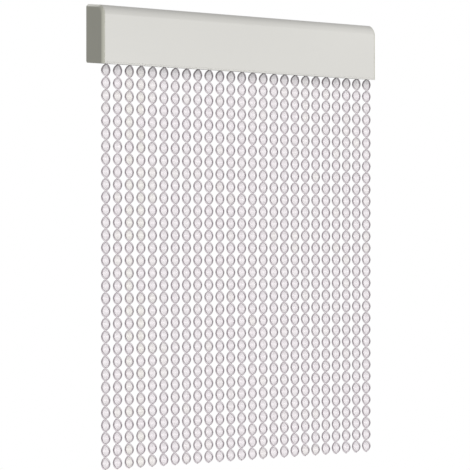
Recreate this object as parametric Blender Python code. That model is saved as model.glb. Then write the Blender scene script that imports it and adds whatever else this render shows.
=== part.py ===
"""Spiral cord door curtain: a header rail that is fixed by its flat back, and the twisted cords it holds.

X runs along the header, the front faces -Y and Z is up. The origin is the centre of the header's back face.
"""
from math import atan, cos, pi, radians, sin

import bmesh
import bpy
from mathutils import Matrix, Vector

# Header rail, in metres
HEADER_WIDTH = 0.896
HEADER_DEPTH = 0.092
BACK_HEIGHT = 0.158
FASCIA_DROP = 0.0095
TOP_FALL = 0.009
CORNER_DEPTH = 0.025
CORNER_HEIGHT = 0.027
CORNER_BULGE = 0.0055
CORNER_STEPS = 7
WALL = 0.0025

# End caps
CAP_WIDTH = 0.0075
CAP_PLATE = 0.0035
CAP_FILLET = 0.005
CAP_FILLET_STEPS = 3
CAP_HEEL = 0.004

# Cords, each a flat ribbon twisted about its own middle
CORD_COUNT = 25
CORD_PITCH = 0.0356
CORD_SETBACK = 0.020
RIBBON_WIDTH = 0.0246
RIBBON_THICKNESS = 0.0054
FACET_GAIN = 1.05
LOBE_LENGTH = 0.03377
LOBE_COUNT = 32
STEPS_PER_LOBE = 3
LOBE_FACING = radians(-32.0)
WAIST_ABOVE_FASCIA = 0.0022

# Carrier strips that hold the cords, lying on the two ledges inside the header
SLOT_WIDTH = 0.027
STRIP_BEARING = 0.0037
STRIP_THICKNESS = 0.006
STRIP_OVERHANG = 0.0155
ROOT_DEPTH = 0.001

GAP = 0.0003

# Heights and depths that follow from the sizes above
BACK_BOTTOM = -BACK_HEIGHT / 2
BACK_TOP = BACK_HEIGHT / 2
FASCIA_BOTTOM = BACK_BOTTOM - FASCIA_DROP
FRONT_Y = -HEADER_DEPTH
CORNER_TOP = BACK_TOP - TOP_FALL
CORNER_FOOT = CORNER_TOP - CORNER_HEIGHT
CORD_Y = FRONT_Y + CORD_SETBACK
LEDGE_TOP = BACK_BOTTOM + WALL
STRIP_BOTTOM = LEDGE_TOP + GAP
STRIP_WIDTH = SLOT_WIDTH + 2 * STRIP_BEARING
FIRST_CORD_X = -CORD_PITCH * (CORD_COUNT - 1) / 2
FIRST_WAIST = FASCIA_BOTTOM + WAIST_ABOVE_FASCIA
CORDS_ON_LEFT = (CORD_COUNT + 1) // 2


def clear_scene():
    for item in list(bpy.data.objects):
        bpy.data.objects.remove(item, do_unlink=True)


def make_material(name, colour, roughness, metallic=0.0, alpha=1.0):
    material = bpy.data.materials.new(name)
    material.use_nodes = True
    shader = material.node_tree.nodes["Principled BSDF"]
    shader.inputs["Base Color"].default_value = (*colour, 1.0)
    shader.inputs["Roughness"].default_value = roughness
    shader.inputs["Metallic"].default_value = metallic
    shader.inputs["Alpha"].default_value = alpha
    return material


def add_object(name, bm, material=None):
    """Turn a bmesh into a mesh object with its faces pointing out."""
    bmesh.ops.recalc_face_normals(bm, faces=bm.faces)
    mesh = bpy.data.meshes.new(name)
    bm.to_mesh(mesh)
    bm.free()
    if material:
        mesh.materials.append(material)
    item = bpy.data.objects.new(name, mesh)
    bpy.context.scene.collection.objects.link(item)
    return item


def add_cutter(name, bm):
    """A shape that only serves a Boolean: kept as a wire and left out of renders."""
    cutter = add_object(name, bm)
    cutter.hide_render = True
    cutter.display_type = "WIRE"
    return cutter


def add_boolean(item, operation, other):
    modifier = item.modifiers.new(operation.title(), "BOOLEAN")
    modifier.operation = operation
    modifier.solver = "EXACT"
    modifier.object = other


def extruded(outline, x_low, x_high):
    """A prism of a closed (y, z) outline between two planes across X."""
    bm = bmesh.new()
    face = bm.faces.new([bm.verts.new((x_low, y, z)) for y, z in outline])
    grown = bmesh.ops.extrude_face_region(bm, geom=[face])
    moved = [part for part in grown["geom"] if isinstance(part, bmesh.types.BMVert)]
    bmesh.ops.translate(bm, verts=moved, vec=(x_high - x_low, 0.0, 0.0))
    return bm


def shallow_arc(start, end, bulge, steps):
    """Points from start to end along an arc that stands out by bulge to the right of the straight way."""
    start, end = Vector(start), Vector(end)
    half_chord = (end - start).length / 2
    along = (end - start).normalized()
    outward = Vector((along.y, -along.x))
    half_sweep = 2 * atan(bulge / half_chord)
    radius = half_chord / sin(half_sweep)
    middle = (start + end) / 2
    points = []
    for step in range(steps + 1):
        turn = half_sweep * (2 * step / steps - 1)
        points.append(middle + along * radius * sin(turn) + outward * radius * (cos(turn) - cos(half_sweep)))
    return points


def inset_chain(points, distance):
    """The chain of points moved to its left by distance, with mitred corners."""
    points = [Vector(point) for point in points]
    result = []
    for index, point in enumerate(points):
        normals = []
        for first, second in ((index - 1, index), (index, index + 1)):
            if first >= 0 and second < len(points):
                along = (points[second] - points[first]).normalized()
                normals.append(Vector((-along.y, along.x)))
        mitre = sum(normals, Vector((0.0, 0.0))).normalized()
        result.append(point + mitre * distance / mitre.dot(normals[0]))
    return result


def shell_chain():
    """The header's outside in section: up the back, over the top, round the corner and down the front."""
    corner_start = (FRONT_Y + CORNER_DEPTH, CORNER_TOP)
    corner = shallow_arc(corner_start, (FRONT_Y, CORNER_FOOT), CORNER_BULGE, CORNER_STEPS)
    return [Vector((0.0, BACK_BOTTOM)), Vector((0.0, BACK_TOP)), *corner, Vector((FRONT_Y, FASCIA_BOTTOM))]


def header_outline():
    """The header's extruded section: a shell with a ledge on each side of the slot for the cords."""
    outside = shell_chain()
    inside = inset_chain(outside, WALL)
    slot_front = CORD_Y - SLOT_WIDTH / 2
    slot_back = CORD_Y + SLOT_WIDTH / 2
    inner_front = inside[-1].x
    inner_back = inside[0].x
    front_ledge = [
        (inner_front, LEDGE_TOP),
        (slot_front, LEDGE_TOP),
        (slot_front, LEDGE_TOP - WALL),
        (inner_front, LEDGE_TOP - WALL),
    ]
    back_ledge = [(slot_back, BACK_BOTTOM), (slot_back, LEDGE_TOP), (inner_back, LEDGE_TOP)]
    return [*outside, inside[-1], *reversed(front_ledge), *reversed(inside[1:-1]), *reversed(back_ledge)]


def build_header(material):
    half = HEADER_WIDTH / 2 - CAP_WIDTH - GAP
    return add_object("header", extruded(header_outline(), -half, half), material)


def cap_outline():
    """The end cap's outside in section, with a small heel cut off its lower back corner."""
    underside_fall = CAP_HEEL * FASCIA_DROP / HEADER_DEPTH
    heel = [Vector((-CAP_HEEL, BACK_BOTTOM - underside_fall)), Vector((0.0, BACK_BOTTOM + CAP_HEEL))]
    return [*heel, *shell_chain()[1:]]


def cap_pocket_outline():
    """The cap's hollow in section, open at the bottom for the outermost cord and the end of its strip."""
    shell = inset_chain(shell_chain(), WALL)
    below = FASCIA_BOTTOM - WALL
    return [Vector((shell[0].x, below)), *shell[1:-1], Vector((shell[-1].x, below))]


def build_end_cap(name, side, material):
    """side is -1 for the left cap and +1 for the right one."""
    outer = side * HEADER_WIDTH / 2
    inner = outer - side * CAP_WIDTH
    bm = extruded(cap_outline(), inner, outer)
    rounded = []
    for edge in bm.edges:
        ends = [vert.co for vert in edge.verts]
        on_outer_face = all(abs(end.x - outer) < GAP for end in ends)
        middle = (ends[0] + ends[1]) / 2
        at_back = middle.y > -GAP
        underneath = middle.z < BACK_BOTTOM + CAP_HEEL and middle.y > FRONT_Y + GAP
        if on_outer_face and not at_back and not underneath:
            rounded.append(edge)
    bmesh.ops.bevel(
        bm, geom=rounded, offset=CAP_FILLET, segments=CAP_FILLET_STEPS, profile=0.5, affect="EDGES"
    )
    cap = add_object(name, bm, material)
    pocket_end = outer - side * CAP_PLATE
    pocket = extruded(cap_pocket_outline(), inner - side * WALL, pocket_end)
    add_boolean(cap, "DIFFERENCE", add_cutter(name + "_pocket", pocket))
    return cap


def ribbon_ring(bm, x, z):
    """Three corners of the ribbon's section at height z: two edges and a ridge, turned to the twist there."""
    turn = LOBE_FACING + pi / 2 - pi * (z - FIRST_WAIST) / LOBE_LENGTH
    half_width = RIBBON_WIDTH * FACET_GAIN / 2
    half_thickness = RIBBON_THICKNESS / 2
    ring = []
    corners = [(half_width, -half_thickness), (0.0, half_thickness), (-half_width, -half_thickness)]
    for corner in corners:
        offset = Matrix.Rotation(turn, 2) @ Vector(corner)
        ring.append(bm.verts.new((x + offset.x, CORD_Y + offset.y, z)))
    return ring


def add_cord(bm, x):
    """One twisted cord, from inside its carrier strip down to the end of its last lobe."""
    step = LOBE_LENGTH / STEPS_PER_LOBE
    heights = [STRIP_BOTTOM + ROOT_DEPTH]
    heights += [FIRST_WAIST - step * count for count in range(LOBE_COUNT * STEPS_PER_LOBE + 1)]
    rings = [ribbon_ring(bm, x, z) for z in heights]
    bm.faces.new(rings[0])
    bm.faces.new(reversed(rings[-1]))
    for upper, lower in zip(rings, rings[1:]):
        for corner in range(3):
            following = (corner + 1) % 3
            bm.faces.new((lower[corner], lower[following], upper[following]))
            bm.faces.new((lower[corner], upper[following], upper[corner]))


def build_cords(name, first, last, material):
    """A carrier strip with the cords numbered first to last fused into its underside."""
    reach = {0: STRIP_OVERHANG, CORD_COUNT - 1: STRIP_OVERHANG}
    between_strips = (CORD_PITCH - GAP) / 2
    low = FIRST_CORD_X + first * CORD_PITCH - reach.get(first, between_strips)
    high = FIRST_CORD_X + last * CORD_PITCH + reach.get(last, between_strips)
    front = CORD_Y - STRIP_WIDTH / 2
    back = CORD_Y + STRIP_WIDTH / 2
    top = STRIP_BOTTOM + STRIP_THICKNESS
    section = [(front, STRIP_BOTTOM), (back, STRIP_BOTTOM), (back, top), (front, top)]
    strip = add_object(name, extruded(section, low, high), material)
    bm = bmesh.new()
    for index in range(first, last + 1):
        add_cord(bm, FIRST_CORD_X + index * CORD_PITCH)
    add_boolean(strip, "UNION", add_cutter(name + "_strands", bm))
    return strip


def build():
    clear_scene()
    lacquer = make_material("header_lacquer", (0.72, 0.715, 0.68), 0.35)
    cap_plastic = make_material("cap_plastic", (0.68, 0.675, 0.64), 0.42)
    clear_vinyl = make_material("clear_vinyl", (0.80, 0.76, 0.79), 0.18, alpha=0.55)
    build_header(lacquer)
    build_end_cap("end_cap_left", -1, cap_plastic)
    build_end_cap("end_cap_right", 1, cap_plastic)
    build_cords("cords_left", 0, CORDS_ON_LEFT - 1, clear_vinyl)
    build_cords("cords_right", CORDS_ON_LEFT, CORD_COUNT - 1, clear_vinyl)


build()
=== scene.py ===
"""Spiral cord door curtain, dressed: header profile, end caps, carrier strips and clear twisted cords."""
from math import atan, cos, pi, radians, sin, tan

import bmesh
import bpy
from mathutils import Matrix, Vector


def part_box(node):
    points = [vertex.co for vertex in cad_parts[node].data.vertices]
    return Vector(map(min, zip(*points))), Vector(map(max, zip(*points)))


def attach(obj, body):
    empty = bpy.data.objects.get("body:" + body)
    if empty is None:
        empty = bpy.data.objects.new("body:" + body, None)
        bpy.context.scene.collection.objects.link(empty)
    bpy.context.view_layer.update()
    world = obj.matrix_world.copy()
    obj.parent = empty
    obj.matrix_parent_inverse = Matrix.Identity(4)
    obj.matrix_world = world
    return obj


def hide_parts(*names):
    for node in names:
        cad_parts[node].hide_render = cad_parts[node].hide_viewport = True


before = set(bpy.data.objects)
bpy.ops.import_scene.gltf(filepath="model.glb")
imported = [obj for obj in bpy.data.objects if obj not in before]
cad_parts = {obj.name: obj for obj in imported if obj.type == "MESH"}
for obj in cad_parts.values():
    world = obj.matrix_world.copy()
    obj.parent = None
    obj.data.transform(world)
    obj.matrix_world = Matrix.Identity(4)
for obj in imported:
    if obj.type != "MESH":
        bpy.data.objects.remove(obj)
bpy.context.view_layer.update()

# Sizes read from the frame
HEADER_LOW, HEADER_HIGH = (Vector(corner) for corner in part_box("header"))
CAP_LEFT_LOW, CAP_LEFT_HIGH = (Vector(corner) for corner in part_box("end_cap_left"))
CAP_RIGHT_LOW, CAP_RIGHT_HIGH = (Vector(corner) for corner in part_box("end_cap_right"))
CORDS_LEFT_LOW, CORDS_LEFT_HIGH = (Vector(corner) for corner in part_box("cords_left"))
CORDS_RIGHT_LOW, CORDS_RIGHT_HIGH = (Vector(corner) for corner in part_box("cords_right"))

# Header section, in metres, with the same driving sizes as the solids
FRONT_Y = HEADER_LOW.y
BACK_TOP = HEADER_HIGH.z
FASCIA_BOTTOM = HEADER_LOW.z
FASCIA_DROP = 0.0095
BACK_BOTTOM = FASCIA_BOTTOM + FASCIA_DROP
TOP_FALL = 0.009
CORNER_DEPTH = 0.025
CORNER_HEIGHT = 0.027
CORNER_BULGE = 0.0055
CORNER_STEPS = 16
WALL = 0.0025
EDGE_ROUND = 0.0008
TOP_FOLD_ROUND = 0.0032
FASCIA_FOLD_ROUND = 0.0016
ROUND_STEPS = 5
NEARLY_STRAIGHT = pi / 2 - 0.01
LIP_HEIGHT = 0.0055
LIP_SWELL = 0.0006
HEADER_SMOOTH_DEGREES = 20

# End caps
CAP_PLATE = 0.005
CAP_FILLET = 0.0065
CAP_FILLET_SHAPE = 0.32
CAP_FILLET_STEPS = 8
CAP_HEEL = 0.004
SEAM_BREAK = 0.0007
SEAM_STEPS = 2
SEAM_SHAPE = 0.5
CAP_SMOOTH_DEGREES = 25
ON_FACE = 0.0001
OFF_FACE = 0.0003

# Carrier strips and the slot they lie over
CORD_SETBACK = 0.020
CORD_Y = FRONT_Y + CORD_SETBACK
SLOT_WIDTH = 0.027
LEDGE_TOP = BACK_BOTTOM + WALL
STRIP_GAP = 0.0003
STRIP_BOTTOM = LEDGE_TOP + STRIP_GAP
STRIP_THICKNESS = CORDS_LEFT_HIGH.z - STRIP_BOTTOM

# Cords
CORD_COUNT = 25
CORDS_ON_LEFT = 13
CORD_PITCH = 0.0356
FIRST_CORD_X = -CORD_PITCH * (CORD_COUNT - 1) / 2
RIBBON_WIDTH = 0.0252
BEAD_ACROSS = 0.0021
BEAD_THROUGH = 0.0028
WEB_THICKNESS = 0.0016
# Points round each bead: the dark share is painted darkness standing in for refraction at the curved bead,
# and thick how much of the bead's thickness lies there
BEAD_POINTS = (
    {"degrees": 0, "painted_dark": 0.0, "thick": 1.0},
    {"degrees": 45, "painted_dark": 0.24, "thick": 1.0},
    {"degrees": 80, "painted_dark": 1.0, "thick": 0.95},
    {"degrees": 110, "painted_dark": 1.0, "thick": 0.95},
    {"degrees": 142, "painted_dark": 0.5, "thick": 0.8},
    {"degrees": 160, "painted_dark": 0.0, "thick": 0.45},
)
WEB_EDGE = 1.5
DWELL = radians(5.0)
LOBE_LENGTH = 0.03377
RINGS_PER_LOBE = 14
LOBE_FACING = radians(-32.0)
FIRST_WAIST = FASCIA_BOTTOM + 0.0022
CORD_BOTTOM = CORDS_LEFT_LOW.z
ROOT_DEPTH = 0.0005
TIP_LENGTH = 0.004
TIP_SIZE = 0.55

# How many neighbouring cords each piece holds, from left to right
CORDS_IN_PIECES = (5, 4, 4, 4, 4, 4)

# Clear vinyl: colours of the web and of the beads, whose darkness is painted to stand in for refraction at
# their curved edges, how much each covers, how level light scatters in it, and the painted shade on the lobes
# under the header
WEB_LILAC = (0.857, 0.785, 0.828, 1.0)
WEB_IVORY = (0.847, 0.806, 0.755, 1.0)
# Bead colours: the vinyl's lilac and grey tints, painted dark to stand in for refraction at the curved beads
PAINTED_DARK_BEAD_LILAC = (0.293, 0.247, 0.28, 1.0)
PAINTED_DARK_BEAD_GREY = (0.319, 0.286, 0.306, 1.0)
WEB_ALPHA = (0.26, 0.46)
BEAD_ALPHA = 0.88
VINYL_ROUGHNESS = (0.32, 0.48)
VINYL_IOR = 1.53
# Where the painted dark share turns the web colour into the painted dark bead colour
PAINTED_DARK_EDGE = (0.1, 0.7)
STREAK_STRETCH = 9.0
STREAK_RELIEF = 0.0004
# Painted shade: the lilac grey that the lobes just under the header are darkened towards, standing in for the
# header's shadow on them
PAINTED_SHADE_TONE = (0.16, 0.135, 0.15, 1.0)
SCATTER_LEVEL = 0.4
# Where the painted shade under the header starts, how far down it reaches and how deep it goes
PAINTED_SHADE_START = 0.006
PAINTED_SHADE_REACH = 0.031
PAINTED_SHADE_DEPTH = 0.66
IVORY_CORD = 2.5
IVORY_REACH = 1.6
IVORY_CHANCE = (0.78, 1.2)

# Camera: level, looking along the header from its left, with the horizon a little below the frame's middle
VIEW_ANGLE = radians(32.0)
FOCAL_PIXELS = 1864.0
PICTURE_PIXELS = 470.0
SENSOR_WIDTH = 36.0
CAMERA_POSITION = (-2.76216, -4.45732, -0.59294)
HORIZON_BELOW_MIDDLE = 19.0

# How many see-through surfaces a ray may pass, because the cords lie behind each other
TRANSPARENT_BOUNCES = 64

# Floor and surroundings
FLOOR_BELOW_TOP = 2.10
FLOOR_RADIUS = 4.0
FLOOR_CORNERS = 96
FLOOR_PALE = (0.86, 0.86, 0.855, 1.0)
FLOOR_PALER = (0.9, 0.9, 0.895, 1.0)
FLOOR_ROUGHNESS = 0.7
SEEN_WHITE = (1.0, 1.0, 1.0, 1.0)
CAST_WHITE = (1.0, 1.0, 0.99, 1.0)
CAST_STRENGTH = 0.30

# What a noise texture spans in practice, and the narrower part of it that the slow clouds of tone use
NOISE_RANGE = (0.3, 0.7)
CLOUD_RANGE = (0.35, 0.65)

# Coated faces: tone, tone in the clouds, roughness and its spread, scale of the ripple, relief and clear coat
COATINGS = (
    {"name": "header_lacquer", "colour": (0.777, 0.767, 0.73), "shade": (0.762, 0.752, 0.716),
     "roughness": 0.38, "spread": 0.04, "ripple": 260.0, "relief": 0.0002, "coat": 0.15},
    # The caps are the header's light plastic, painted darker and warmer to stand in for the shade and warm
    # reflection on their side faces
    {"name": "cap_plastic", "colour": (0.73, 0.727, 0.63), "shade": (0.715, 0.712, 0.615),
     "roughness": 0.45, "spread": 0.05, "ripple": 700.0, "relief": 0.0003, "coat": 0.0},
    {"name": "strip_plastic", "colour": (0.62, 0.61, 0.58), "shade": (0.58, 0.57, 0.54),
     "roughness": 0.5, "spread": 0.06, "ripple": 500.0, "relief": 0.0003, "coat": 0.0},
)
COAT_ROUGHNESS = 0.22
SPECK_SHARE = 0.35

# Distant lights, with angles in degrees, and the pieces that each one lights and is blocked by
SUNS = (
    {"name": "key_on_header", "azimuth": 15.0, "elevation": -8.0, "strength": 1.9, "spread": 12.0,
     "lights": "shell", "blockers": None},
    {"name": "key_on_cords", "azimuth": -32.0, "elevation": 0.0, "strength": 1.82, "spread": 30.0,
     "lights": "cords", "blockers": "shell"},
    {"name": "sky_on_cords", "azimuth": -10.0, "elevation": 42.0, "strength": 0.2, "spread": 30.0,
     "lights": "cords", "blockers": "shell"},
    {"name": "sky_behind", "azimuth": 180.0, "elevation": 40.0, "strength": 1.1, "spread": 40.0,
     "lights": "shell", "blockers": None},
    {"name": "sky_on_floor", "azimuth": 0.0, "elevation": 70.0, "strength": 1.9, "spread": 40.0,
     "lights": "floor", "blockers": None},
)

# The soft lamp in front of the header's far end
LAMP_PLACE = (0.45, -0.30, 0.30)
LAMP_TARGET = (0.40, -0.08, 0.07)
LAMP_SIZE = 0.3
LAMP_POWER = 0.11


def rounded_path(points, radii):
    """The open path of points with each inner corner turned by an arc of its own radius."""
    path = [Vector(points[0])]
    for before, corner, after, radius in zip(points, points[1:], points[2:], radii):
        corner = Vector(corner)
        back = (Vector(before) - corner).normalized()
        forward = (Vector(after) - corner).normalized()
        half_angle = back.angle(forward) / 2
        if radius <= 0 or half_angle > NEARLY_STRAIGHT:
            path.append(corner)
            continue
        reach = radius / tan(half_angle)
        centre = corner + (back + forward).normalized() * radius / sin(half_angle)
        first = corner + back * reach - centre
        last = corner + forward * reach - centre
        sweep = last.angle_signed(first)
        for step in range(ROUND_STEPS + 1):
            path.append(centre + Matrix.Rotation(sweep * step / ROUND_STEPS, 2) @ first)
    path.append(Vector(points[-1]))
    return path


def shallow_arc(start, end, bulge, steps):
    """Points from start to end along an arc that stands out by bulge to the right of the straight way."""
    start, end = Vector(start), Vector(end)
    half_chord = (end - start).length / 2
    along = (end - start).normalized()
    outward = Vector((along.y, -along.x))
    half_sweep = 2 * atan(bulge / half_chord)
    radius = half_chord / sin(half_sweep)
    middle = (start + end) / 2
    points = []
    for step in range(steps + 1):
        turn = half_sweep * (2 * step / steps - 1)
        points.append(middle + along * radius * sin(turn) + outward * radius * (cos(turn) - cos(half_sweep)))
    return points


def inset_chain(points, distance):
    """The chain of points moved to its left by distance, with mitred corners."""
    result = []
    for index, point in enumerate(points):
        normals = []
        for first, second in ((index - 1, index), (index, index + 1)):
            if first >= 0 and second < len(points):
                along = (points[second] - points[first]).normalized()
                normals.append(Vector((-along.y, along.x)))
        mitre = sum(normals, Vector((0.0, 0.0))).normalized()
        result.append(point + mitre * distance / mitre.dot(normals[0]))
    return result


def shell_chain():
    """The header's outside in section: up the back, over the top, round the corner and down the fascia."""
    corner_top = BACK_TOP - TOP_FALL
    corner_start = (FRONT_Y + CORNER_DEPTH, corner_top)
    corner_foot = (FRONT_Y, corner_top - CORNER_HEIGHT)
    corner = shallow_arc(corner_start, corner_foot, CORNER_BULGE, CORNER_STEPS)
    return [Vector((0.0, BACK_BOTTOM)), Vector((0.0, BACK_TOP)), *corner, Vector((FRONT_Y, FASCIA_BOTTOM))]


def finished_shell_chain():
    """The same outside with its edges eased, as lacquer and a moulding tool leave them."""
    chain = shell_chain()
    radii = [EDGE_ROUND] + [0.0] * (len(chain) - 3)
    radii[1] = TOP_FOLD_ROUND
    radii[-1] = FASCIA_FOLD_ROUND
    return rounded_path(chain, radii)


def new_object(name, bm):
    """A named object whose mesh is taken from bm, which is then freed."""
    mesh = bpy.data.meshes.new(name)
    bm.to_mesh(mesh)
    bm.free()
    piece = bpy.data.objects.new(name, mesh)
    bpy.context.scene.collection.objects.link(piece)
    return piece


def extruded(outline, x_low, x_high):
    """A prism of a closed (y, z) outline between two planes across X."""
    bm = bmesh.new()
    face = bm.faces.new([bm.verts.new((x_low, y, z)) for y, z in outline])
    grown = bmesh.ops.extrude_face_region(bm, geom=[face])
    moved = [part for part in grown["geom"] if isinstance(part, bmesh.types.BMVert)]
    bmesh.ops.translate(bm, verts=moved, vec=(x_high - x_low, 0.0, 0.0))
    bmesh.ops.recalc_face_normals(bm, faces=bm.faces)
    return bm


def smooth_by_angle(piece, degrees):
    """Smooth shading, with edges kept sharp where faces turn by more than the angle."""
    piece.data.shade_smooth()
    piece.data.set_sharp_from_angle(angle=radians(degrees))


def settle_modifiers(piece):
    """Replace a piece's mesh by what its modifiers make of it."""
    evaluated = piece.evaluated_get(bpy.context.evaluated_depsgraph_get())
    mesh = bpy.data.meshes.new_from_object(evaluated)
    piece.modifiers.clear()
    old = piece.data
    piece.data = mesh
    bpy.data.meshes.remove(old)


# Shader helpers


def group_tree(name, inputs, outputs):
    """An empty shader node group with named sockets and its two end nodes."""
    tree = bpy.data.node_groups.new(name, "ShaderNodeTree")
    for socket_name, kind, value in inputs:
        socket = tree.interface.new_socket(name=socket_name, in_out="INPUT", socket_type=kind)
        if value is not None:
            socket.default_value = value
    for socket_name, kind in outputs:
        tree.interface.new_socket(name=socket_name, in_out="OUTPUT", socket_type=kind)
    return tree, tree.nodes.new("NodeGroupInput"), tree.nodes.new("NodeGroupOutput")


def add_node(tree, kind, inputs=None, **settings):
    """A node with its settings, and each named input set to a value or fed by a socket."""
    node = tree.nodes.new(kind)
    for key, value in settings.items():
        setattr(node, key, value)
    for key, value in (inputs or {}).items():
        if isinstance(value, bpy.types.NodeSocket):
            tree.links.new(value, node.inputs[key])
        else:
            node.inputs[key].default_value = value
    return node


def math_node(tree, operation, *values, clamp=False):
    """The result of one calculation on the given numbers and sockets."""
    inputs = dict(enumerate(values))
    return add_node(tree, "ShaderNodeMath", inputs, operation=operation, use_clamp=clamp).outputs[0]


def mix_colour(tree, factor, first, second):
    """A colour mix, whose factor is input 0 and whose two colours are inputs 6 and 7."""
    node = tree.nodes.new("ShaderNodeMix")
    node.data_type = "RGBA"
    for index, value in ((0, factor), (6, first), (7, second)):
        if isinstance(value, bpy.types.NodeSocket):
            tree.links.new(value, node.inputs[index])
        else:
            node.inputs[index].default_value = value
    return node.outputs[2]


def make_surface_grain():
    """Fine unevenness of a coated or moulded face: a height for bump and a mask for roughness and tone."""
    tree, given, made = group_tree(
        "surface_grain",
        [("Vector", "NodeSocketVector", None), ("Ripple Scale", "NodeSocketFloat", 220.0),
         ("Speck Scale", "NodeSocketFloat", 1600.0), ("Cloud Scale", "NodeSocketFloat", 7.0)],
        [("Height", "NodeSocketFloat"), ("Mask", "NodeSocketFloat")],
    )
    ripple = add_node(tree, "ShaderNodeTexNoise", {
        "Vector": given.outputs["Vector"], "Scale": given.outputs["Ripple Scale"], "Detail": 1.0})
    speck = add_node(tree, "ShaderNodeTexNoise", {
        "Vector": given.outputs["Vector"], "Scale": given.outputs["Speck Scale"], "Detail": 0.0})
    cloud = add_node(tree, "ShaderNodeTexNoise", {
        "Vector": given.outputs["Vector"], "Scale": given.outputs["Cloud Scale"], "Detail": 3.0})
    fine = math_node(tree, "MULTIPLY", speck.outputs["Fac"], SPECK_SHARE)
    height = math_node(tree, "ADD", ripple.outputs["Fac"], fine)
    tree.links.new(height, made.inputs["Height"])
    tree.links.new(cloud.outputs["Fac"], made.inputs["Mask"])
    return tree


def make_lobe_tint():
    """A steady random tone for each lobe and each cord, and how ivory a lobe's web is."""
    tree, given, made = group_tree(
        "lobe_tint",
        [("Vector", "NodeSocketVector", None), ("First Cord", "NodeSocketFloat", FIRST_CORD_X),
         ("Pitch", "NodeSocketFloat", CORD_PITCH), ("First Waist", "NodeSocketFloat", FIRST_WAIST),
         ("Lobe Length", "NodeSocketFloat", LOBE_LENGTH), ("Ivory Cord", "NodeSocketFloat", IVORY_CORD),
         ("Ivory Reach", "NodeSocketFloat", IVORY_REACH)],
        [("Lobe", "NodeSocketFloat"), ("Cord", "NodeSocketFloat"), ("Ivory", "NodeSocketFloat")],
    )
    split = add_node(tree, "ShaderNodeSeparateXYZ", {"Vector": given.outputs["Vector"]})
    from_first = math_node(tree, "SUBTRACT", split.outputs["X"], given.outputs["First Cord"])
    cord = math_node(tree, "ROUND", math_node(tree, "DIVIDE", from_first, given.outputs["Pitch"]))
    below = math_node(tree, "SUBTRACT", given.outputs["First Waist"], split.outputs["Z"])
    lobe = math_node(tree, "FLOOR", math_node(tree, "DIVIDE", below, given.outputs["Lobe Length"]))
    place = add_node(tree, "ShaderNodeCombineXYZ", {"X": cord, "Y": lobe, "Z": 0.5})
    lobe_noise = add_node(tree, "ShaderNodeTexWhiteNoise", {
        "Vector": place.outputs[0]}, noise_dimensions="3D")
    cord_noise = add_node(tree, "ShaderNodeTexWhiteNoise", {"W": cord}, noise_dimensions="1D")
    aside = math_node(tree, "ABSOLUTE", math_node(tree, "SUBTRACT", cord, given.outputs["Ivory Cord"]))
    near = math_node(tree, "SUBTRACT", 1.0, math_node(
        tree, "DIVIDE", aside, given.outputs["Ivory Reach"]), clamp=True)
    chance = math_node(tree, "ADD", lobe_noise.outputs["Value"], near)
    ivory = add_node(tree, "ShaderNodeMapRange", {
        "Value": chance, "From Min": IVORY_CHANCE[0], "From Max": IVORY_CHANCE[1]},
        interpolation_type="SMOOTHSTEP")
    tree.links.new(lobe_noise.outputs["Value"], made.inputs["Lobe"])
    tree.links.new(cord_noise.outputs["Value"], made.inputs["Cord"])
    tree.links.new(ivory.outputs[0], made.inputs["Ivory"])
    return tree


def new_material(name):
    """A material with a Principled shader, and the Object coordinates it is drawn on."""
    material = bpy.data.materials.new(name)
    material.use_nodes = True
    tree = material.node_tree
    shader = tree.nodes["Principled BSDF"]
    coordinates = tree.nodes.new("ShaderNodeTexCoord")
    return material, tree, shader, coordinates.outputs["Object"]


def coated_material(grain, coating):
    """Satin lacquer or moulded plastic: an even tone with slow clouds, uneven gloss and a fine skin."""
    material, tree, shader, place = new_material(coating["name"])
    skin = add_node(tree, "ShaderNodeGroup", node_tree=grain)
    tree.links.new(place, skin.inputs["Vector"])
    skin.inputs["Ripple Scale"].default_value = coating["ripple"]
    tone = add_node(tree, "ShaderNodeMapRange", {
        "Value": skin.outputs["Mask"], "From Min": CLOUD_RANGE[0], "From Max": CLOUD_RANGE[1],
        "To Min": 0.0, "To Max": 1.0})
    colour = mix_colour(tree, tone.outputs[0], (*coating["colour"], 1.0), (*coating["shade"], 1.0))
    tree.links.new(colour, shader.inputs["Base Color"])
    gloss = add_node(tree, "ShaderNodeMapRange", {
        "Value": skin.outputs["Mask"], "From Min": NOISE_RANGE[0], "From Max": NOISE_RANGE[1],
        "To Min": coating["roughness"] - coating["spread"],
        "To Max": coating["roughness"] + coating["spread"]})
    tree.links.new(gloss.outputs[0], shader.inputs["Roughness"])
    relief = add_node(tree, "ShaderNodeBump", {
        "Height": skin.outputs["Height"], "Strength": 0.25, "Distance": coating["relief"]})
    tree.links.new(relief.outputs["Normal"], shader.inputs["Normal"])
    shader.inputs["Coat Weight"].default_value = coating["coat"]
    shader.inputs["Coat Roughness"].default_value = COAT_ROUGHNESS
    return material


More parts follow.
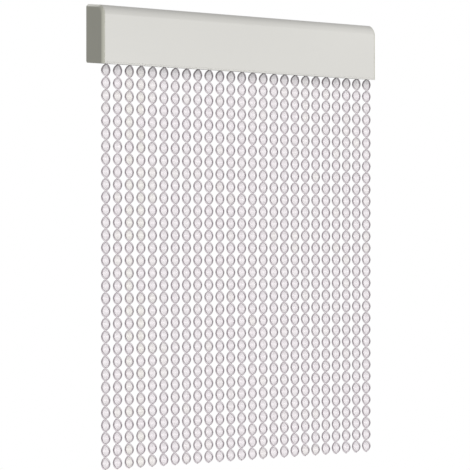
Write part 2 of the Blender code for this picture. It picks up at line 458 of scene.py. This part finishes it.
def vinyl_material(name, tint):
    """Clear soft vinyl: a thin sheer web between two thick beads, the beads painted dark to stand in for
    refraction at their curved edges, and painted shade on the lobes just under the header.
    """
    material, tree, shader, place = new_material(name)
    # Painted darkness on the beads, standing in for refraction at their curved edges
    painted_dark_share = add_node(tree, "ShaderNodeAttribute", attribute_name="painted_dark").outputs["Fac"]
    line = add_node(tree, "ShaderNodeMapRange", {
        "Value": painted_dark_share, "From Min": PAINTED_DARK_EDGE[0], "From Max": PAINTED_DARK_EDGE[1]}, interpolation_type="SMOOTHSTEP")
    thick = add_node(tree, "ShaderNodeAttribute", attribute_name="thick").outputs["Fac"]
    across = add_node(tree, "ShaderNodeAttribute", attribute_name="across").outputs["Fac"]
    tones = add_node(tree, "ShaderNodeGroup", node_tree=tint)
    tree.links.new(place, tones.inputs["Vector"])

    split = add_node(tree, "ShaderNodeSeparateXYZ", {"Vector": place})
    thin = math_node(tree, "SUBTRACT", 1.0, thick, clamp=True)
    web_only = math_node(tree, "MULTIPLY", tones.outputs["Ivory"], thin)
    web_colour = mix_colour(tree, web_only, WEB_LILAC, WEB_IVORY)
    # The beads' lilac and grey tints, painted dark to stand in for refraction
    painted_dark_bead_colour = mix_colour(tree, tones.outputs["Lobe"], PAINTED_DARK_BEAD_LILAC, PAINTED_DARK_BEAD_GREY)
    colour = mix_colour(tree, line.outputs[0], web_colour, painted_dark_bead_colour)
    # Painted shade: the colour is darkened towards the shade tone just below the fascia, standing in for the
    # header's shadow on the top lobes
    painted_shade_under_header = add_node(tree, "ShaderNodeMapRange", {
        "Value": split.outputs["Z"], "From Min": FASCIA_BOTTOM - PAINTED_SHADE_REACH,
        "From Max": FASCIA_BOTTOM - PAINTED_SHADE_START, "To Min": 0.0, "To Max": PAINTED_SHADE_DEPTH},
        interpolation_type="SMOOTHSTEP")
    shaded = mix_colour(tree, painted_shade_under_header.outputs[0], colour, PAINTED_SHADE_TONE)
    tree.links.new(shaded, shader.inputs["Base Color"])

    streak_place = add_node(tree, "ShaderNodeCombineXYZ", {"X": across})
    down = math_node(tree, "MULTIPLY", split.outputs["Z"], STREAK_STRETCH)
    tree.links.new(down, streak_place.inputs["Y"])
    tree.links.new(tones.outputs["Cord"], streak_place.inputs["Z"])
    streaks = add_node(tree, "ShaderNodeTexNoise", {
        "Vector": streak_place.outputs[0], "Scale": 4.0, "Detail": 2.0, "Roughness": 0.6})
    sheer = add_node(tree, "ShaderNodeMapRange", {
        "Value": streaks.outputs["Fac"], "From Min": NOISE_RANGE[0], "From Max": NOISE_RANGE[1],
        "To Min": WEB_ALPHA[0], "To Max": WEB_ALPHA[1]})
    cover = add_node(tree, "ShaderNodeMix", {0: thick, 2: sheer.outputs[0], 3: BEAD_ALPHA}, data_type="FLOAT")
    tree.links.new(cover.outputs[0], shader.inputs["Alpha"])

    gloss = add_node(tree, "ShaderNodeMapRange", {
        "Value": streaks.outputs["Fac"], "From Min": NOISE_RANGE[0], "From Max": NOISE_RANGE[1],
        "To Min": VINYL_ROUGHNESS[0], "To Max": VINYL_ROUGHNESS[1]})
    tree.links.new(gloss.outputs[0], shader.inputs["Roughness"])
    relief = add_node(tree, "ShaderNodeBump", {
        "Height": streaks.outputs["Fac"], "Strength": 0.2, "Distance": STREAK_RELIEF})
    scattered = add_node(tree, "ShaderNodeVectorMath", {
        0: relief.outputs["Normal"], 1: (1.0, 1.0, SCATTER_LEVEL)}, operation="MULTIPLY")
    even = add_node(tree, "ShaderNodeVectorMath", {0: scattered.outputs[0]}, operation="NORMALIZE")
    tree.links.new(even.outputs[0], shader.inputs["Normal"])
    shader.inputs["IOR"].default_value = VINYL_IOR
    return material


# Header profile


def header_outline():
    """The finished section: eased shell, a slightly swollen lip at the fascia's foot, and the two ledges."""
    outside = finished_shell_chain()
    inside = inset_chain(shell_chain(), WALL)
    foot = outside.pop()
    lip = [
        Vector((foot.x, foot.y + LIP_HEIGHT)),
        Vector((foot.x + LIP_SWELL, foot.y + LIP_HEIGHT - 2 * LIP_SWELL)),
        Vector((foot.x, foot.y + LIP_HEIGHT - 4 * LIP_SWELL)),
        Vector((foot.x, foot.y + LIP_SWELL)),
        Vector((foot.x + LIP_SWELL, foot.y)),
    ]
    slot_front = CORD_Y - SLOT_WIDTH / 2
    slot_back = CORD_Y + SLOT_WIDTH / 2
    inner_front = inside[-1].x
    inner_back = inside[0].x
    front_ledge = [
        (inner_front, foot.y),
        (inner_front, LEDGE_TOP - WALL),
        (slot_front, LEDGE_TOP - WALL),
        (slot_front, LEDGE_TOP),
        (inner_front, LEDGE_TOP),
    ]
    back_ledge = [(inner_back, LEDGE_TOP), (slot_back, LEDGE_TOP), (slot_back, BACK_BOTTOM)]
    return [*outside, *lip, *front_ledge, *reversed(inside[1:-1]), *back_ledge]


def build_header(material):
    """The extruded profile that lies between the two caps."""
    piece = new_object("header_profile", extruded(header_outline(), HEADER_LOW.x, HEADER_HIGH.x))
    smooth_by_angle(piece, HEADER_SMOOTH_DEGREES)
    piece.data.materials.append(material)
    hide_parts("header")
    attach(piece, "root")
    return piece


# End caps


def cap_outline():
    """A cap's outside in section: the shell closed underneath, with its lower back corner cut off."""
    underside_fall = CAP_HEEL * FASCIA_DROP / -FRONT_Y
    heel = [Vector((-CAP_HEEL, BACK_BOTTOM - underside_fall)), Vector((0.0, BACK_BOTTOM + CAP_HEEL))]
    return [*heel, *shell_chain()[1:]]


def cap_pocket_outline():
    """A cap's inside in section, which runs out through the underside and so leaves it open."""
    shell = inset_chain(shell_chain(), WALL)
    below = FASCIA_BOTTOM - WALL
    return [Vector((shell[0].x, below)), *shell[1:-1], Vector((shell[-1].x, below))]


def build_end_cap(name, node, side, low, high, material):
    """A moulded cap, hollow inside, with a broad fillet round its outer face and its seam edge just broken.

    side is -1 for the left cap and +1 for the right one.
    """
    outer = high.x if side > 0 else low.x
    inner = low.x if side > 0 else high.x
    bm = extruded(cap_outline(), min(inner, outer), max(inner, outer))

    def edges_on(face_x):
        """The edges round the cap's face at face_x, without those at the back and underneath."""
        found = []
        for edge in bm.edges:
            ends = [vert.co for vert in edge.verts]
            middle = (ends[0] + ends[1]) / 2
            at_back = middle.y > -OFF_FACE
            underneath = middle.z < BACK_BOTTOM + CAP_HEEL and middle.y > FRONT_Y + OFF_FACE
            on_face = all(abs(end.x - face_x) < ON_FACE for end in ends)
            if on_face and not at_back and not underneath:
                found.append(edge)
        return found

    bmesh.ops.bevel(
        bm, geom=edges_on(outer), offset=CAP_FILLET, segments=CAP_FILLET_STEPS,
        profile=CAP_FILLET_SHAPE, affect="EDGES")
    bmesh.ops.bevel(
        bm, geom=edges_on(inner), offset=SEAM_BREAK, segments=SEAM_STEPS,
        profile=SEAM_SHAPE, affect="EDGES")
    piece = new_object(name, bm)
    mouth = inner - side * WALL
    bottom = outer - side * CAP_PLATE
    pocket_shape = extruded(cap_pocket_outline(), min(mouth, bottom), max(mouth, bottom))
    pocket = new_object(name + "_pocket", pocket_shape)
    hollow = piece.modifiers.new("Hollow", "BOOLEAN")
    hollow.operation = "DIFFERENCE"
    hollow.solver = "EXACT"
    hollow.object = pocket
    settle_modifiers(piece)
    bpy.data.objects.remove(pocket, do_unlink=True)
    smooth_by_angle(piece, CAP_SMOOTH_DEGREES)
    piece.data.materials.clear()
    piece.data.materials.append(material)
    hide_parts(node)
    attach(piece, "root")
    return piece


# Carrier strips


def build_carrier(name, node, low, high, material):
    """The strip that the cords are held in, with its long edges eased."""
    front = CORD_Y - (high.y - low.y) / 2
    back = CORD_Y + (high.y - low.y) / 2
    top = STRIP_BOTTOM + STRIP_THICKNESS
    ease = EDGE_ROUND
    section = [
        (front, STRIP_BOTTOM), (back, STRIP_BOTTOM), (back, top - ease), (back - ease, top),
        (front + ease, top), (front, top - ease),
    ]
    piece = new_object(name, extruded(section, low.x, high.x))
    piece.data.materials.append(material)
    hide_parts(node)
    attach(piece, "root")
    return piece


# Cords, by Geometry Nodes


def ribbon_section():
    """The ribbon's closed section: two oval beads joined by a thin web.

    Each point is (across, through, dark share, thick): the dark share is how much of the beads' painted dark
    colour shows there, which stands in for refraction at their curved edges, and thick how much of its
    thickness lies under it.
    """
    bead_centre = RIBBON_WIDTH / 2 - BEAD_ACROSS
    upper = []
    for point in BEAD_POINTS:
        turn = radians(point["degrees"])
        place = (bead_centre + BEAD_ACROSS * cos(turn), BEAD_THROUGH * sin(turn))
        upper.append((*place, point["painted_dark"], point["thick"]))
    lower = [(x, -y, painted_dark, thick) for x, y, painted_dark, thick in reversed(upper[1:])]
    right = [*lower, *upper]
    web_edge = bead_centre - WEB_EDGE * BEAD_ACROSS
    web_top = [(web_edge, WEB_THICKNESS / 2, 0.0, 0.0), (-web_edge, WEB_THICKNESS / 2, 0.0, 0.0)]
    left = [(-x, -y, painted_dark, thick) for x, y, painted_dark, thick in right]
    web_bottom = [(-x, -y, painted_dark, thick) for x, y, painted_dark, thick in web_top]
    return [*right, *web_top, *left, *web_bottom]


def section_object(name):
    """The section as a closed ring of edges, with each point's dark share (painted darkness standing in for
    refraction), thick and place across.
    """
    points = ribbon_section()
    mesh = bpy.data.meshes.new(name)
    edges = [(index, (index + 1) % len(points)) for index in range(len(points))]
    mesh.from_pydata([(x, y, 0.0) for x, y, painted_dark, thick in points], edges, [])
    shares = {label: mesh.attributes.new(label, "FLOAT", "POINT") for label in ("painted_dark", "thick", "across")}
    for index, (x, y, painted_dark, thick) in enumerate(points):
        shares["painted_dark"].data[index].value = painted_dark
        shares["thick"].data[index].value = thick
        shares["across"].data[index].value = x / (RIBBON_WIDTH / 2)
    piece = bpy.data.objects.new(name, mesh)
    bpy.context.scene.collection.objects.link(piece)
    return piece


def cord_tree():
    """Sweeps the section down a twisted line, repeats it at the cords' pitch and dresses it."""
    tree = bpy.data.node_groups.new("twisted_cords", "GeometryNodeTree")
    sockets = [
        ("Geometry", "NodeSocketGeometry", None),
        ("First X", "NodeSocketFloat", 0.0), ("Row Y", "NodeSocketFloat", 0.0),
        ("Pitch", "NodeSocketFloat", 0.03), ("Count", "NodeSocketInt", 5), ("Top Z", "NodeSocketFloat", 0.0),
        ("Bottom Z", "NodeSocketFloat", -1.0), ("Waist Z", "NodeSocketFloat", 0.0),
        ("Lobe Length", "NodeSocketFloat", 0.03), ("Facing", "NodeSocketFloat", 0.0),
        ("Dwell", "NodeSocketFloat", 0.0), ("Rings", "NodeSocketInt", 600),
        ("Tip Length", "NodeSocketFloat", TIP_LENGTH), ("Tip Size", "NodeSocketFloat", TIP_SIZE),
        ("Material", "NodeSocketMaterial", None),
    ]
    for name, kind, value in sockets:
        socket = tree.interface.new_socket(name=name, in_out="INPUT", socket_type=kind)
        if value is not None:
            socket.default_value = value
    tree.interface.new_socket(name="Geometry", in_out="OUTPUT", socket_type="NodeSocketGeometry")
    given = tree.nodes.new("NodeGroupInput").outputs
    made = tree.nodes.new("NodeGroupOutput")

    section = add_node(tree, "GeometryNodeMeshToCurve", {"Mesh": given["Geometry"]})
    start = add_node(tree, "ShaderNodeCombineXYZ", {"Z": given["Top Z"]})
    end = add_node(tree, "ShaderNodeCombineXYZ", {"Z": given["Bottom Z"]})
    line = add_node(tree, "GeometryNodeCurvePrimitiveLine", {
        "Start": start.outputs[0], "End": end.outputs[0]})
    rail = add_node(tree, "GeometryNodeResampleCurve", {"Curve": line.outputs[0], "Count": given["Rings"]})

    height = add_node(tree, "ShaderNodeSeparateXYZ", {
        "Vector": add_node(tree, "GeometryNodeInputPosition").outputs[0]}).outputs["Z"]
    above_waist = math_node(tree, "SUBTRACT", height, given["Waist Z"])
    half_turns = math_node(tree, "DIVIDE", above_waist, given["Lobe Length"])
    lobe_turns = math_node(tree, "MULTIPLY", half_turns, 2 * pi)
    swing = math_node(tree, "SINE", lobe_turns)
    lull = math_node(tree, "ADD", 1.0, math_node(tree, "COSINE", lobe_turns))
    dwell = math_node(tree, "MULTIPLY", math_node(tree, "MULTIPLY", swing, lull), given["Dwell"])
    even_twist = math_node(tree, "MULTIPLY_ADD", half_turns, -pi, given["Facing"])
    twist = math_node(tree, "SUBTRACT", even_twist, dwell)
    turn = math_node(tree, "ADD", twist, pi / 2)
    heading = add_node(tree, "ShaderNodeCombineXYZ", {
        "X": math_node(tree, "COSINE", turn), "Y": math_node(tree, "SINE", turn)})
    twisted = add_node(tree, "GeometryNodeSetCurveNormal", {"Curve": rail.outputs[0]}, mode="FREE")
    tree.links.new(heading.outputs[0], twisted.inputs["Normal"])

    above_end = math_node(tree, "SUBTRACT", height, given["Bottom Z"])
    tip = math_node(tree, "DIVIDE", above_end, given["Tip Length"], clamp=True)
    inward = math_node(tree, "SUBTRACT", 1.0, tip)
    inward_squared = math_node(tree, "MULTIPLY", inward, inward)
    round_off = math_node(tree, "SQRT", math_node(tree, "SUBTRACT", 1.0, inward_squared))
    tip_gain = math_node(tree, "SUBTRACT", 1.0, given["Tip Size"])
    size = math_node(tree, "MULTIPLY_ADD", round_off, tip_gain, given["Tip Size"])
    tapered = add_node(tree, "GeometryNodeSetCurveRadius", {"Curve": twisted.outputs[0], "Radius": size})
    swept = add_node(tree, "GeometryNodeCurveToMesh", {
        "Curve": tapered.outputs[0], "Profile Curve": section.outputs[0], "Fill Caps": True, "Scale": size})

    first = add_node(tree, "ShaderNodeCombineXYZ", {"X": given["First X"], "Y": given["Row Y"]})
    step = add_node(tree, "ShaderNodeCombineXYZ", {"X": given["Pitch"]})
    places = add_node(tree, "GeometryNodeMeshLine", {
        "Count": given["Count"], "Start Location": first.outputs[0], "Offset": step.outputs[0]})
    repeated = add_node(tree, "GeometryNodeInstanceOnPoints", {
        "Points": places.outputs[0], "Instance": swept.outputs[0]})
    real = add_node(tree, "GeometryNodeRealizeInstances", {"Geometry": repeated.outputs[0]})
    smooth = add_node(tree, "GeometryNodeSetShadeSmooth", {"Geometry": real.outputs[0], "Shade Smooth": True})
    dressed = add_node(tree, "GeometryNodeSetMaterial", {
        "Geometry": smooth.outputs[0], "Material": given["Material"]})
    tree.links.new(dressed.outputs[0], made.inputs["Geometry"])
    return tree


def build_cords(tree, name, node, first, count, material):
    """One piece of neighbouring cords, swept by the node tree and then kept as a plain mesh."""
    piece = section_object(name)
    modifier = piece.modifiers.new("Cords", "NODES")
    modifier.node_group = tree
    top = STRIP_BOTTOM + ROOT_DEPTH
    rings = round((top - CORD_BOTTOM) / LOBE_LENGTH * RINGS_PER_LOBE)
    values = {
        "First X": FIRST_CORD_X + first * CORD_PITCH, "Row Y": CORD_Y, "Pitch": CORD_PITCH, "Count": count,
        "Top Z": top, "Bottom Z": CORD_BOTTOM, "Waist Z": FIRST_WAIST, "Lobe Length": LOBE_LENGTH,
        "Facing": LOBE_FACING, "Dwell": DWELL, "Rings": rings, "Material": material,
    }
    sockets = [item for item in tree.interface.items_tree if item.in_out == "INPUT"]
    identifiers = {socket.name: socket.identifier for socket in sockets}
    for key, value in values.items():
        modifier[identifiers[key]] = value
    settle_modifiers(piece)
    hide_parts(node)
    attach(piece, "root")
    return piece


# Setting


def build_camera():
    """A level camera that looks along the header at the fitted angle."""
    data = bpy.data.cameras.new("camera")
    data.sensor_width = SENSOR_WIDTH
    data.lens = FOCAL_PIXELS * SENSOR_WIDTH / PICTURE_PIXELS
    data.shift_y = HORIZON_BELOW_MIDDLE / PICTURE_PIXELS
    camera = bpy.data.objects.new("camera", data)
    camera.location = CAMERA_POSITION
    camera.rotation_euler = (pi / 2, 0.0, -VIEW_ANGLE)
    bpy.context.scene.collection.objects.link(camera)
    bpy.context.scene.camera = camera


def build_floor():
    """A pale disc far below, which throws no light back onto the curtain."""
    bm = bmesh.new()
    bmesh.ops.create_circle(bm, cap_ends=True, segments=FLOOR_CORNERS, radius=FLOOR_RADIUS)
    floor = new_object("floor", bm)
    floor.location = (0.0, 0.0, BACK_TOP - FLOOR_BELOW_TOP)
    material, tree, shader, place = new_material("floor_paint")
    cloud = add_node(tree, "ShaderNodeTexNoise", {"Vector": place, "Scale": 0.8, "Detail": 2.0})
    pale = mix_colour(tree, cloud.outputs["Fac"], FLOOR_PALE, FLOOR_PALER)
    tree.links.new(pale, shader.inputs["Base Color"])
    shader.inputs["Roughness"].default_value = FLOOR_ROUGHNESS
    floor.data.materials.append(material)
    floor.visible_diffuse = False
    floor.visible_glossy = False
    return floor


def build_world():
    """White where the camera looks past the curtain, and a softer grey for the light that falls on it."""
    world = bpy.data.worlds.new("studio")
    world.use_nodes = True
    tree = world.node_tree
    tree.nodes.clear()
    out = tree.nodes.new("ShaderNodeOutputWorld")
    seen = add_node(tree, "ShaderNodeBackground", {"Color": SEEN_WHITE, "Strength": 1.0})
    cast = add_node(tree, "ShaderNodeBackground", {"Color": CAST_WHITE, "Strength": CAST_STRENGTH})
    path = tree.nodes.new("ShaderNodeLightPath")
    choice = add_node(tree, "ShaderNodeMixShader", {
        0: path.outputs["Is Camera Ray"], 1: cast.outputs[0], 2: seen.outputs[0]})
    tree.links.new(choice.outputs[0], out.inputs["Surface"])
    bpy.context.scene.world = world


def add_sun(sun, pieces):
    """A distant light: azimuth from straight in front towards +X, elevation above the horizon."""
    data = bpy.data.lights.new(sun["name"], "SUN")
    data.energy = sun["strength"]
    data.angle = radians(sun["spread"])
    light = bpy.data.objects.new(sun["name"], data)
    azimuth = radians(sun["azimuth"])
    elevation = radians(sun["elevation"])
    towards = Vector((sin(azimuth) * cos(elevation), -cos(azimuth) * cos(elevation), sin(elevation)))
    light.rotation_euler = towards.to_track_quat("Z", "Y").to_euler()
    bpy.context.scene.collection.objects.link(light)
    limit_light(light, pieces[sun["lights"]], pieces.get(sun["blockers"]))


def add_lamp(name, lights):
    """A square soft lamp at its place, turned to its target, that lights only the given pieces."""
    data = bpy.data.lights.new(name, "AREA")
    data.size = LAMP_SIZE
    data.energy = LAMP_POWER
    lamp = bpy.data.objects.new(name, data)
    lamp.location = LAMP_PLACE
    lamp.rotation_euler = (Vector(LAMP_PLACE) - Vector(LAMP_TARGET)).to_track_quat("Z", "Y").to_euler()
    bpy.context.scene.collection.objects.link(lamp)
    limit_light(lamp, lights)


def limit_light(light, lights, blockers=None):
    """Let a light fall on the given pieces alone, and be blocked by the blockers alone if there are any."""
    receivers = bpy.data.collections.new(light.name + "_receivers")
    for piece in lights:
        receivers.objects.link(piece)
    light.light_linking.receiver_collection = receivers
    if blockers is None:
        return
    shades = bpy.data.collections.new(light.name + "_blockers")
    for piece in blockers:
        shades.objects.link(piece)
    light.light_linking.blocker_collection = shades


def build_shell(lacquer, cap_plastic, strip_plastic):
    """The header, its two end caps and the two carrier strips."""
    return [
        build_header(lacquer),
        build_end_cap("end_cap_left_shell", "end_cap_left", -1, CAP_LEFT_LOW, CAP_LEFT_HIGH, cap_plastic),
        build_end_cap("end_cap_right_shell", "end_cap_right", 1, CAP_RIGHT_LOW, CAP_RIGHT_HIGH, cap_plastic),
        build_carrier("carrier_left", "cords_left", CORDS_LEFT_LOW, CORDS_LEFT_HIGH, strip_plastic),
        build_carrier("carrier_right", "cords_right", CORDS_RIGHT_LOW, CORDS_RIGHT_HIGH, strip_plastic),
    ]


def build_all_cords(vinyl):
    """The cords from left to right, in pieces of a few neighbours."""
    tree = cord_tree()
    cords = []
    first = 0
    for number, count in enumerate(CORDS_IN_PIECES, start=1):
        node = "cords_left" if first < CORDS_ON_LEFT else "cords_right"
        cords.append(build_cords(tree, f"cords_group_{number}", node, first, count, vinyl))
        first += count
    return cords


def main():
    build_camera()
    build_world()
    floor = build_floor()
    grain = make_surface_grain()
    lacquer, cap_plastic, strip_plastic = (coated_material(grain, coating) for coating in COATINGS)
    vinyl = vinyl_material("clear_vinyl", make_lobe_tint())
    shell = build_shell(lacquer, cap_plastic, strip_plastic)
    pieces = {"shell": shell, "cords": build_all_cords(vinyl), "floor": [floor]}
    for sun in SUNS:
        add_sun(sun, pieces)
    add_lamp("fill_at_far_end", shell)
    scene = bpy.context.scene
    scene.view_settings.view_transform = "Standard"
    scene.cycles.transparent_max_bounces = TRANSPARENT_BOUNCES


main()
